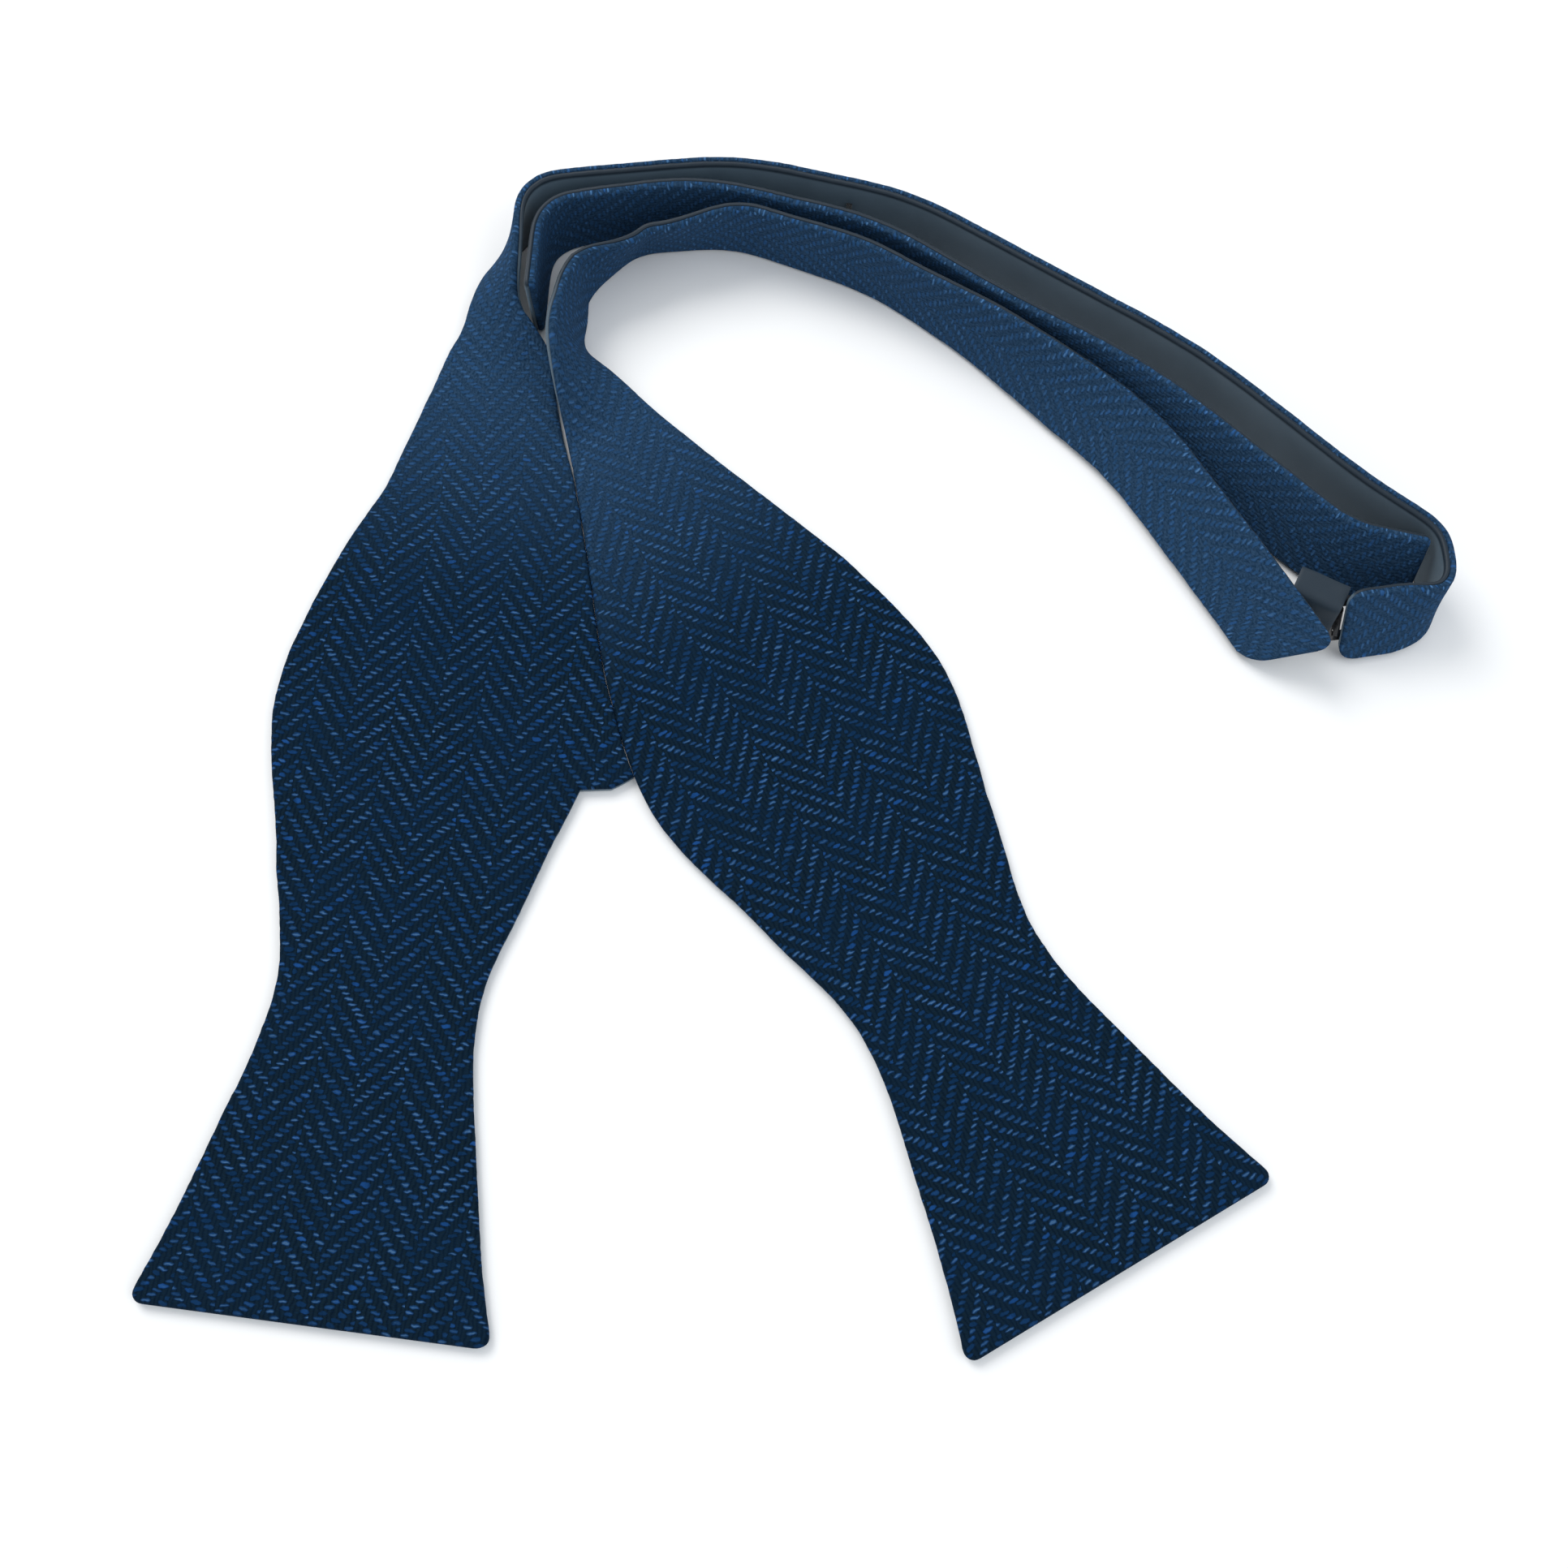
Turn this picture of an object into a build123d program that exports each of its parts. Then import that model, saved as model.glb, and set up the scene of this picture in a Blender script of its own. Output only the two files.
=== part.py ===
from build123d import *
from math import ceil, cos, radians, sin
import os

"""Self-tie bow tie, untied and laid on a table.

Two identical butterfly blades lie flat, tweed side up. Their neck straps roll up
on to edge and run to the right in three layers: the rear strap, which turns back
in a loop at its right end, the take-up tail between the layers, and the front
strap, whose end is hooked to the end of the rear strap.

Every blade and strap is sewn from three layers: a tweed face whose edges are
turned under, a canvas interlining and a satin lining.

Frame: +X right, +Y away from the blade tips, +Z up. The origin is on the table,
at the middle of the whole outline. Millimetres.
"""

os.makedirs("parts", exist_ok=True)

# ---- cloth layers -----------------------------------------------------------
FACE_T = 1.2            # tweed, as pressed
CANVAS_T = 0.6          # interlining
LINING_T = 0.6          # satin lining with its turned allowance
HEM = 1.0               # width of the tweed that is turned under round an edge
PLY_T = FACE_T + CANVAS_T + LINING_T

# ---- blade outline, measured from the straight end towards the neck ----------
STRAP_W = 17.0          # width of the neck straps
BLADE_END_W = 65.6      # straight end
WAIST_W = 38.8          # narrowest place of the blade
BULB_W = 65.6           # widest place, where the bow is folded
WAIST_S = 59.0          # distances from the straight end
BULB_S = 118.0
SHOULDER_S = 145.0
SHOULDER_W = 56.2
THROAT_S = 185.0
THROAT_W = 28.4
NECK_S = 205.0
CORNER_R = 3.0          # rounding of the two tips

# ---- where the blades lie -----------------------------------------------------
LEFT_TIP = (-93.9, -118.2)      # middle of the straight end
LEFT_HEADING = 83.3             # degrees from +X, end to neck
RIGHT_TIP = (50.4, -108.8)
RIGHT_HEADING = 119.3
NECK_HINGE_BACK = 10.0          # the neck crease lies this far below the neck
BODY_GAP = 0.4                  # clearance at each crease and between the blades

# ---- strap routes in plan, each from the left to its far end --------------------
REAR_CORNERS = [(-67.8, 116.5), (-20.1, 121.5), (17.0, 112.0), (75.9, 73.0),
                (105.9, 43.3), (120.6, 31.5), (120.8, 17.6)]
REAR_RADII = [11.0, 60.0, 60.0, 120.0, 60.0, 4.2, 4.2]
REAR_END = (101.6, 14.7)
TAIL_START = (-59.9, 84.8)
TAIL_CORNERS = [(-59.6, 111.3), (-28.1, 115.8), (9.9, 105.3), (61.9, 68.5), (101.0, 30.5)]
TAIL_RADII = [8.0, 50.0, 60.0, 120.0, 20.0]
TAIL_END = (114.0, 27.5)
FRONT_CORNERS = [(-54.6, 78.3), (-53.2, 97.0), (-42.5, 108.4), (-21.5, 110.9),
                 (8.0, 99.8), (32.4, 82.4), (62.5, 56.8), (82.0, 24.0)]
FRONT_RADII = [12.0, 9.0, 9.0, 30.0, 60.0, 60.0, 60.0, 40.0]
FRONT_END = (90.0, 10.0)

# ---- how the straps roll: (distance from the start, degrees from on edge) -------
FLAT = 90.0
ON_EDGE = 0.0
LEAN = 26.0
FRONT_LEAN = 46.0
REAR_ROLL = [(0.0, FLAT), (34.0, ON_EDGE), (262.0, ON_EDGE), (278.0, LEAN)]
TAIL_ROLL = [(0.0, ON_EDGE), (120.0, ON_EDGE), (180.0, LEAN)]
FRONT_ROLL = [(0.0, FLAT), (27.0, ON_EDGE), (110.0, ON_EDGE), (185.0, FRONT_LEAN)]
STRAIGHT_STEP = 14.0            # longest stretch between two sections
ARC_STEP = 16.0                 # degrees of bend between two sections

# ---- clasp and small sewn pieces ------------------------------------------------
WIRE_D = 1.4
EYE_L = 9.0
EYE_H = 10.0
EYE_CORNER_R = 2.0
EYE_OVERHANG = 3.4              # the eye stands out past the end of the rear strap
HOOK_T = 1.0
HOOK_H = 6.0
HOOK_SHANK = 11.0
HOOK_PLAY = 0.35                # clearance round the eye's bar
HOOK_WRAP = 110.0               # degrees of the eye's bar inside the hook
HOOK_AIM = -38.0                # shank from the rear strap's heading, about the eye's bar
TAB_T = 0.8
TAB_H = 8.4
TAB_L = 10.0
TAB_START = 1.5                 # distance of the tab from the eye's bar along the shank
TACK_H = 5.0
TACK_W = 1.2
TACK_T = 0.5
TACK_GAP = 0.05
SEAM_TACK_S = 111.0             # along the rear strap from the neck crease
TAIL_TACK_BACK = 6.0            # back from the free end of the tail


def along(start, heading, distance):
    """The plan point at a distance from start on a heading in degrees."""
    angle = radians(heading)
    return (start[0] + distance * cos(angle), start[1] + distance * sin(angle))


def blade_plane(tip, heading, height=0.0):
    """Plane whose x axis runs up the blade from the middle of its straight end."""
    angle = radians(heading)
    return Plane(origin=(tip[0], tip[1], height), x_dir=(cos(angle), sin(angle), 0), z_dir=(0, 0, 1))


def blade_outline(inset):
    """Face of the whole blade in its own plane, drawn in by inset."""
    with BuildSketch() as outline:
        with BuildLine():
            side = Spline(
                (inset, BLADE_END_W / 2 - inset),
                (WAIST_S, WAIST_W / 2 - inset),
                (BULB_S, BULB_W / 2 - inset),
                (SHOULDER_S, SHOULDER_W / 2 - inset),
                (THROAT_S, THROAT_W / 2 - inset),
                (NECK_S, STRAP_W / 2 - inset),
            )
            Line(side @ 1, (NECK_S, inset - STRAP_W / 2))
            mirror(side, about=Plane.XZ)
            Line((inset, inset - BLADE_END_W / 2), side @ 0)
        make_face()
        fillet(outline.vertices().group_by(Axis.X)[0], CORNER_R - inset)
    return outline.sketch


def blade_layer(tip, heading, span, layer, keep_off=None):
    """One layer of the stretch of a blade between two distances from its end."""
    bottom = {"face": 0.0, "canvas": LINING_T, "lining": 0.0}[layer]
    height = {"face": PLY_T, "canvas": CANVAS_T, "lining": LINING_T}[layer]
    outline = WHOLE_BLADE if layer == "face" else BLADE_CORE
    middle = (span[0] + span[1]) / 2
    with BuildPart() as piece:
        with BuildSketch(blade_plane(tip, heading, bottom)):
            add(outline)
            with Locations((middle, 0)):
                Rectangle(span[1] - span[0], 2 * BULB_W, mode=Mode.INTERSECT)
        extrude(amount=height)
        if layer == "face":
            with BuildSketch(blade_plane(tip, heading)):
                add(BLADE_CORE)
            extrude(amount=PLY_T - FACE_T, mode=Mode.SUBTRACT)
        if keep_off:
            with BuildSketch(blade_plane(*keep_off)):
                add(BLADE_WITH_GAP)
            extrude(amount=PLY_T, mode=Mode.SUBTRACT)
    return piece.part


def roll_at(profile, distance):
    """Roll of a strap at a distance along it, eased between the stated places."""
    if distance <= profile[0][0]:
        return profile[0][1]
    for (near, near_roll), (far, far_roll) in zip(profile, profile[1:]):
        if distance <= far:
            share = (distance - near) / (far - near)
            return near_roll + (far_roll - near_roll) * share * share * (3 - 2 * share)
    return profile[-1][1]


def section_plane(place, heading, roll, tweed_side):
    """Plane across a strap: x is the tweed's outward normal, y runs across it."""
    left = Vector(-heading.Y, heading.X, 0)
    lift = radians(roll)
    outward = left * (tweed_side * cos(lift)) + Vector(0, 0, sin(lift))
    middle = STRAP_W / 2 * cos(lift) + PLY_T / 2 * sin(lift)
    return Plane(origin=(place.X, place.Y, middle), x_dir=outward, z_dir=heading)


def strap_sections(route, profile, tweed_side):
    """Section planes from one end of a strap to the other, closer together in bends."""
    planes = []
    travelled = 0.0
    for edge in route.edges():
        if edge.geom_type == GeomType.LINE:
            steps = ceil(edge.length / STRAIGHT_STEP)
        else:
            steps = ceil(abs((edge % 0).get_angle(edge % 1)) / ARC_STEP)
        for step in range(steps + 1):
            if planes and step == 0:
                continue
            share = step / steps
            roll = roll_at(profile, travelled + share * edge.length)
            planes.append(section_plane(edge @ share, edge % share, roll, tweed_side))
        travelled += edge.length
    return planes


def strap_layer(planes, layer):
    """One layer of a strap, carried through all of its sections."""
    core_w = STRAP_W - 2 * HEM
    with BuildPart() as piece:
        for plane in planes:
            with BuildSketch(plane):
                if layer == "face":
                    Rectangle(PLY_T, STRAP_W)
                    with Locations((-FACE_T / 2, 0)):
                        Rectangle(PLY_T - FACE_T, core_w, mode=Mode.SUBTRACT)
                if layer == "canvas":
                    with Locations((LINING_T + CANVAS_T / 2 - PLY_T / 2, 0)):
                        Rectangle(CANVAS_T, core_w)
                if layer == "lining":
                    with Locations((LINING_T / 2 - PLY_T / 2, 0)):
                        Rectangle(LINING_T, core_w)
        loft(ruled=True)
    return piece.part


def save(shape, name):
    """Label a finished piece and write its STEP file."""
    shape.label = name
    export_step(shape, f"parts/{name}.step")


LAYERS = ("face", "canvas", "lining")
WHOLE_BLADE = blade_outline(0.0)
BLADE_CORE = blade_outline(HEM)
BLADE_WITH_GAP = blade_outline(-BODY_GAP)
NECK_HINGE_S = NECK_S - NECK_HINGE_BACK
END_SPAN = (-1.0, BULB_S - BODY_GAP / 2)
BULB_SPAN = (BULB_S + BODY_GAP / 2, NECK_HINGE_S - BODY_GAP / 2)

# ---- blades: an end and a bulb on each side of the bow's fold ---------------------
for layer in LAYERS:
    keep_off = (RIGHT_TIP, RIGHT_HEADING)
    save(blade_layer(LEFT_TIP, LEFT_HEADING, END_SPAN, layer, keep_off), f"left_end_{layer}")
    save(blade_layer(LEFT_TIP, LEFT_HEADING, BULB_SPAN, layer, keep_off), f"left_bulb_{layer}")
    save(blade_layer(RIGHT_TIP, RIGHT_HEADING, END_SPAN, layer), f"right_end_{layer}")
    save(blade_layer(RIGHT_TIP, RIGHT_HEADING, BULB_SPAN, layer), f"right_bulb_{layer}")

# ---- straps -----------------------------------------------------------------------
LEFT_NECK = along(LEFT_TIP, LEFT_HEADING, NECK_HINGE_S + BODY_GAP / 2)
RIGHT_NECK = along(RIGHT_TIP, RIGHT_HEADING, NECK_HINGE_S + BODY_GAP / 2)
LEFT_SIDE = 1
RIGHT_SIDE = -1

rear_route = FilletPolyline(LEFT_NECK, *REAR_CORNERS, REAR_END, radius=REAR_RADII)
tail_route = FilletPolyline(TAIL_START, *TAIL_CORNERS, TAIL_END, radius=TAIL_RADII)
front_route = FilletPolyline(RIGHT_NECK, *FRONT_CORNERS, FRONT_END, radius=FRONT_RADII)

rear_sections = strap_sections(rear_route, REAR_ROLL, LEFT_SIDE)
tail_sections = strap_sections(tail_route, TAIL_ROLL, RIGHT_SIDE)
front_sections = strap_sections(front_route, FRONT_ROLL, RIGHT_SIDE)

for layer in LAYERS:
    save(strap_layer(rear_sections, layer), f"rear_strap_{layer}")
    save(strap_layer(tail_sections, layer), f"tail_strap_{layer}")
    save(strap_layer(front_sections, layer), f"front_strap_{layer}")

# ---- hook and eye -------------------------------------------------------------------
rear_end = rear_sections[-1]
eye_middle = (
    rear_end.origin
    - rear_end.x_dir * (PLY_T + WIRE_D) / 2
    + rear_end.z_dir * (EYE_OVERHANG - EYE_L / 2)
)
with BuildPart() as eye:
    with BuildSketch(Plane(origin=eye_middle, x_dir=rear_end.z_dir, z_dir=rear_end.x_dir)):
        RectangleRounded(EYE_L, EYE_H, EYE_CORNER_R)
        Rectangle(EYE_L - 2 * WIRE_D, EYE_H - 2 * WIRE_D, mode=Mode.SUBTRACT)
    extrude(amount=WIRE_D / 2, both=True)
save(eye.part, "eye")

eye_bar = eye_middle + rear_end.z_dir * (EYE_L - WIRE_D) / 2
hook_r = WIRE_D / 2 ** 0.5 + HOOK_PLAY + HOOK_T / 2
hook_foot = Plane(
    origin=eye_bar - rear_end.y_dir * HOOK_H / 2, x_dir=rear_end.z_dir, z_dir=rear_end.y_dir
)
with BuildPart() as hook:
    with BuildSketch(hook_foot):
        with BuildLine():
            bend = CenterArc((0, 0), hook_r, HOOK_AIM - 90, -HOOK_WRAP)
            PolarLine(bend @ 0, HOOK_SHANK, HOOK_AIM)
        trace(line_width=HOOK_T)
    extrude(amount=HOOK_H)
save(hook.part, "hook")

tab_offset = hook_r - HOOK_T / 2 - BODY_GAP - TAB_T / 2
tab_middle = along(along((0, 0), HOOK_AIM - 90, tab_offset), HOOK_AIM, TAB_START + TAB_L / 2)
with BuildPart() as hook_tab:
    with BuildSketch(hook_foot.offset((HOOK_H - TAB_H) / 2)):
        with Locations(tab_middle):
            Rectangle(TAB_L, TAB_T, rotation=HOOK_AIM)
    extrude(amount=TAB_H)
save(hook_tab.part, "hook_tab")

# ---- thread bars on the lining -------------------------------------------------------
tack_places = [
    (rear_route, REAR_ROLL, LEFT_SIDE, SEAM_TACK_S),
    (tail_route, TAIL_ROLL, RIGHT_SIDE, tail_route.length - TAIL_TACK_BACK),
]
with BuildPart() as bar_tacks:
    for route, profile, side, distance in tack_places:
        share = distance / route.length
        across = section_plane(route @ share, route % share, roll_at(profile, distance), side)
        with BuildSketch(across):
            with Locations((-(PLY_T + TACK_T) / 2 - TACK_GAP, 0)):
                Rectangle(TACK_T, TACK_H)
        extrude(amount=TACK_W / 2, both=True)
save(bar_tacks.part, "bar_tacks")
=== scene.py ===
"""Self-tie bow tie in herringbone tweed, untied and laid on a pale table.

Each half of the tie is one ribbon: a butterfly blade lying flat, which runs on
through its neck into a strap that rolls up on to edge. The ribbon is cut at the
neck crease and past the short neck. A third ribbon is the take-up tail between
the two straps. Every length of ribbon has a tweed piece and a lining piece.

Plan numbers are in millimetres in the frame of the CAD model: +X right, +Y away
from the blade ends, +Z up. The meshes are made in metres.
"""
from bisect import bisect_right
from math import ceil, cos, degrees, hypot, pi, radians, sin, sqrt

import bmesh
import bpy
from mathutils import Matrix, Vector, noise


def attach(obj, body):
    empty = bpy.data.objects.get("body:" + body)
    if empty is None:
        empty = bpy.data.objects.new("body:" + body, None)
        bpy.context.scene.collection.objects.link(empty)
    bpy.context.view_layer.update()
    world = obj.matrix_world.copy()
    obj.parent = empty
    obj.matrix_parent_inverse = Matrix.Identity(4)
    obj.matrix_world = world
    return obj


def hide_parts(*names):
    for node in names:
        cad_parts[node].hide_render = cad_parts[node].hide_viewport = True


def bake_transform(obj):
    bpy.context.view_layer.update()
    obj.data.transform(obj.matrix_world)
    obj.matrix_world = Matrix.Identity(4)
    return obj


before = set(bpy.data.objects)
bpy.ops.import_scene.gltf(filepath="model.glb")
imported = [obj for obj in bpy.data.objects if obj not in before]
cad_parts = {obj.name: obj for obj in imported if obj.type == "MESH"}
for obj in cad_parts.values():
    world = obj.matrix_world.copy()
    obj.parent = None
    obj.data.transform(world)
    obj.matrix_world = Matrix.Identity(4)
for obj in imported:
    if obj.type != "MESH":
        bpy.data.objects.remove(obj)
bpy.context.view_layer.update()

MM = 0.001
MERGE = 2e-6            # metres under which two points of a mesh are one

# ---- cloth -------------------------------------------------------------------
PLY_T = 2.4             # tweed, canvas and lining together
TWEED_TOP = 1.2         # heights from the middle of the cloth
TWEED_RIM = 0.2
TWEED_BACK = -0.25
LINING_RIM = -0.55
LINING_BACK = -1.2
LINING_TOP = -0.05
TWEED_EDGE_R = 0.9      # how far in from the edge each layer has its full height
LINING_EDGE_R = 0.6
LINING_INSET = 0.12
LAYERS = {
    "tweed": (TWEED_RIM, TWEED_TOP, TWEED_BACK, TWEED_EDGE_R, 0.0),
    "lining": (LINING_RIM, LINING_TOP, LINING_BACK, LINING_EDGE_R, LINING_INSET),
}
FACE_DIP = 0.14         # the face lies this much lower away from its turned edges

# ---- mesh lines: distances in from an outline ------------------------------------
SIDE_LINES = [0.0, 0.06, 0.22, 0.5, 0.9, 1.5]
INNER_LINES = 7
END_LINES = [0.0, 0.06, 0.22, 0.5, 0.9, 1.4, 2.0]

# ---- blade outline: (distance from the straight end, half width) ----------------
STRAP_HALF_W = 8.5
BLADE_SIDE = [(0.0, 33.0), (30.0, 24.6), (59.0, 19.4), (85.0, 25.2), (118.0, 32.8), (145.0, 28.1),
              (165.0, 21.3), (185.0, 14.2), (205.0, STRAP_HALF_W), (225.0, STRAP_HALF_W)]
NECK_CREASE_S = 195.0
NECK_END_S = 213.0        # the short neck pieces past the creases end here
TIP_CORNER_R = 3.0
LEFT_END_CORNER_R = 3.5
RIGHT_END_CORNER_R = 4.0
TAIL_CORNER_R = 1.2
TAIL_WEAVE_FROM = 300.0   # its weave pattern starts this far along the cloth
START_STEEPNESS = 1.35   # the outline leaves its first place steeper than its chord
BLADE_GAP = 0.04         # between the two blades where they meet
NECK_GAP = 0.6           # and between their necks, so that the left blade can lift
GAP_FROM, GAP_EASE = 187.0, 12.0    # along the right ribbon, from one gap to the other
MEET_FROM, MEET_TO = 95.0, 212.0    # along the left ribbon, where it may meet the right one
RIGHT_ROWS_NEAR = 232    # only this many of the right ribbon's rows lie near the left one
SPREAD_FROM = 186.0      # beyond this the left neck spreads into the gap beside it
NECK_SPREAD, SPREAD_EASE = 12.5, 14.0
CLEAR_W = 5.0            # half width that never reaches the right ribbon
HALVINGS = 9

# ---- where the blades and straps lie ---------------------------------------------
LEFT_TIP, LEFT_HEADING = (-93.9, -118.2), 83.3
LEFT_BENDS = [(-73.2, 45.5), (-73.0, 94.0)]     # the left blade lies in a slight bow
LEFT_BEND_RADII = [90.0, 30.0]
RIGHT_TIP, RIGHT_HEADING = (50.4, -108.8), 119.3
REAR_CORNERS = [(-65.4, 116.8), (-20.1, 121.5), (17.0, 112.0), (75.9, 73.0),
                (105.9, 43.3), (120.6, 31.5), (120.8, 17.2), (101.0, 14.2)]
REAR_RADII = [11.0, 60.0, 60.0, 120.0, 60.0, 4.2, 4.2]
TAIL_CORNERS = [(-63.4, 88.6), (-62.4, 110.9), (-28.1, 116.2), (9.9, 105.3), (61.9, 68.5),
                (101.0, 30.0), (117.2, 26.2)]
TAIL_RADII = [8.0, 50.0, 60.0, 120.0, 20.0]
FRONT_CORNERS = [(-57.0, 81.5), (-53.8, 98.3), (-43.4, 109.8), (-21.5, 111.7),
                 (8.0, 99.8), (32.4, 82.4), (62.5, 56.8), (82.0, 24.0), (90.8, 8.4)]
FRONT_RADII = [12.0, 9.0, 9.0, 30.0, 60.0, 60.0, 60.0, 40.0]

# ---- how the straps roll: (distance from the neck crease, degrees from on edge) ----
FLAT = 90.0
LEAN = 26.0
FRONT_LEAN = 46.0
REAR_ROLL = [(0.0, FLAT), (44.0, 0.0), (262.0, 0.0), (278.0, LEAN)]
TAIL_ROLL = [(0.0, 0.0), (120.0, 0.0), (180.0, LEAN)]
FRONT_ROLL = [(0.0, FLAT), (30.0, 10.0), (52.0, -24.0), (60.0, -22.0), (84.0, -4.0), (112.0, 0.0),
              (185.0, FRONT_LEAN)]
LEFT_SIDE, RIGHT_SIDE = 1, -1       # which side of its route a strap's tweed faces
FRONT_SKEW = 4.4         # how far the front strap's end is cut aslant
SKEW_LENGTH = 26.0

# ---- camera: the photograph's view ---------------------------------------------------
CAMERA_AT = (-10.1, -131.1, 315.69)
CAMERA_PITCH = 70.0                 # degrees below the horizon
CAMERA_LENS = 39.13


# ---- small helpers ----------------------------------------------------------------
def smooth(x):
    """0 below 0, 1 above 1 and eased between."""
    x = min(max(x, 0.0), 1.0)
    return x * x * (3 - 2 * x)


def through(points, x):
    """Smooth curve through (x, y) points."""
    if x <= points[0][0]:
        return points[0][1]
    if x >= points[-1][0]:
        return points[-1][1]
    i = max(k for k in range(len(points) - 1) if points[k][0] <= x)
    (x0, y0), (x1, y1) = points[i], points[i + 1]

    def slope(k):
        if k in (0, len(points) - 1):
            rise = (points[1][1] - points[0][1]) / (points[1][0] - points[0][0])
            return 0.0 if k else rise * START_STEEPNESS
        before = (points[k][1] - points[k - 1][1]) / (points[k][0] - points[k - 1][0])
        after = (points[k + 1][1] - points[k][1]) / (points[k + 1][0] - points[k][0])
        return 0.0 if before * after < 0 else (before + after) / 2

    h = x1 - x0
    u = (x - x0) / h
    return ((2 * u ** 3 - 3 * u ** 2 + 1) * y0 + (u ** 3 - 2 * u ** 2 + u) * h * slope(i)
            + (3 * u ** 2 - 2 * u ** 3) * y1 + (u ** 3 - u ** 2) * h * slope(i + 1))


def eased(profile, x):
    """Value of a profile of (x, y) places, eased from each to the next."""
    if x <= profile[0][0]:
        return profile[0][1]
    for (x0, y0), (x1, y1) in zip(profile, profile[1:]):
        if x <= x1:
            return y0 + (y1 - y0) * smooth((x - x0) / (x1 - x0))
    return profile[-1][1]


def rounded_route(points, radii, step=1.0):
    """Points every step along a polyline with its corners rounded."""
    path = [Vector(points[0])]
    for before, corner, after, r in zip(points, points[1:], points[2:], radii):
        c = Vector(corner)
        a = (Vector(before) - c).normalized()
        b = (Vector(after) - c).normalized()
        half = a.angle(b) / 2
        back = r * cos(half) / sin(half)
        centre = c + (a + b).normalized() * (r / sin(half))
        start = c + a * back - centre
        turn = pi - 2 * half
        side = 1 if a.x * b.y - a.y * b.x < 0 else -1
        steps = max(2, ceil(degrees(turn) / 6))
        for k in range(steps + 1):
            angle = side * turn * k / steps
            path.append(centre + Vector((start.x * cos(angle) - start.y * sin(angle),
                                         start.x * sin(angle) + start.y * cos(angle))))
    path.append(Vector(points[-1]))
    return resample(path, step)


def resample(path, step):
    """The same path as points the same distance apart."""
    lengths = [0.0]
    for a, b in zip(path, path[1:]):
        lengths.append(lengths[-1] + (b - a).length)
    count = max(2, round(lengths[-1] / step))
    even = []
    k = 0
    for i in range(count + 1):
        target = lengths[-1] * i / count
        while k < len(path) - 2 and lengths[k + 1] < target:
            k += 1
        span = lengths[k + 1] - lengths[k]
        even.append(path[k].lerp(path[k + 1], (target - lengths[k]) / span if span else 0.0))
    return even


def soften(path, passes):
    """Ease the changes of curvature along a path, keeping both ends."""
    for _ in range(passes):
        path = [path[0]] + [(a + 2 * b + c) / 4 for a, b, c in zip(path, path[1:], path[2:])] + [path[-1]]
    return path


def wave(x, y, size, seed):
    """Smooth noise from -1 to 1 that changes over about size millimetres."""
    return noise.noise(Vector((x / size, y / size, seed * 7.31)))


# ---- ribbons --------------------------------------------------------------------------
class Section:
    """A place on a ribbon: distance s, middle, direction across, tweed's normal and slant.

    The slant is how far the section shifts along the ribbon for each millimetre across.
    """

    def __init__(self, s, middle, across, out, slant):
        self.s, self.middle, self.across, self.out, self.slant = s, middle, across, out, slant


def point_along(path, lengths, s):
    """Place on a path at a distance from its start."""
    s = min(max(s, 0.0), lengths[-1])
    k = min(bisect_right(lengths, s) - 1, len(path) - 2)
    span = lengths[k + 1] - lengths[k]
    return path[k].lerp(path[k + 1], (s - lengths[k]) / span if span else 0.0)


def sections_of(route, profile, side, flat_until=0.0, skew=0.0):
    """Sections of a ribbon: flat at first, then rolled by its profile as a strap.

    skew moves the strap's lower edge back and its upper edge on, at its far end.
    """
    path = soften(route, 14)
    lengths = [0.0]
    for a, b in zip(path, path[1:]):
        lengths.append(lengths[-1] + (b - a).length)
    total = lengths[-1]
    places = END_LINES + [flat_until, NECK_END_S] * bool(flat_until) + [total - s for s in END_LINES]
    places += range(3, int(total) - 2)
    sections = []
    for s in sorted(set(places)):
        place = point_along(path, lengths, s)
        t = (point_along(path, lengths, s + 0.8) - point_along(path, lengths, s - 0.8)).normalized()
        roll = radians(eased(profile, s - flat_until) if s > flat_until or not flat_until else FLAT)
        left = Vector((-t.y, t.x, 0))
        out = left * (side * cos(roll)) + Vector((0, 0, sin(roll)))
        across = Vector((t.x, t.y, 0)).cross(out)
        height = STRAP_HALF_W * cos(roll) + PLY_T / 2 * abs(sin(roll))
        middle = Vector((place.x, place.y, height)) + left * (side * STRAP_HALF_W * max(0.0, -sin(roll)))
        late = smooth((s - total + SKEW_LENGTH) / SKEW_LENGTH)
        slant = Vector((t.x, t.y, 0)) * (-side * skew * late / STRAP_HALF_W)
        sections.append(Section(s, middle, across, out, slant))
    return sections


def edge_distance(from_side, from_end, corner_r):
    """Distance in from an outline whose end has rounded corners."""
    if from_side < corner_r and from_end < corner_r:
        return corner_r - hypot(corner_r - from_side, corner_r - from_end)
    return min(from_side, from_end)


def rim_curve(d, r):
    """0 at the edge of a layer, 1 at distance r and beyond, as a quarter circle."""
    x = min(max(d / r, 0.0), 1.0)
    return sqrt(1 - (1 - x) ** 2)


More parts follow.
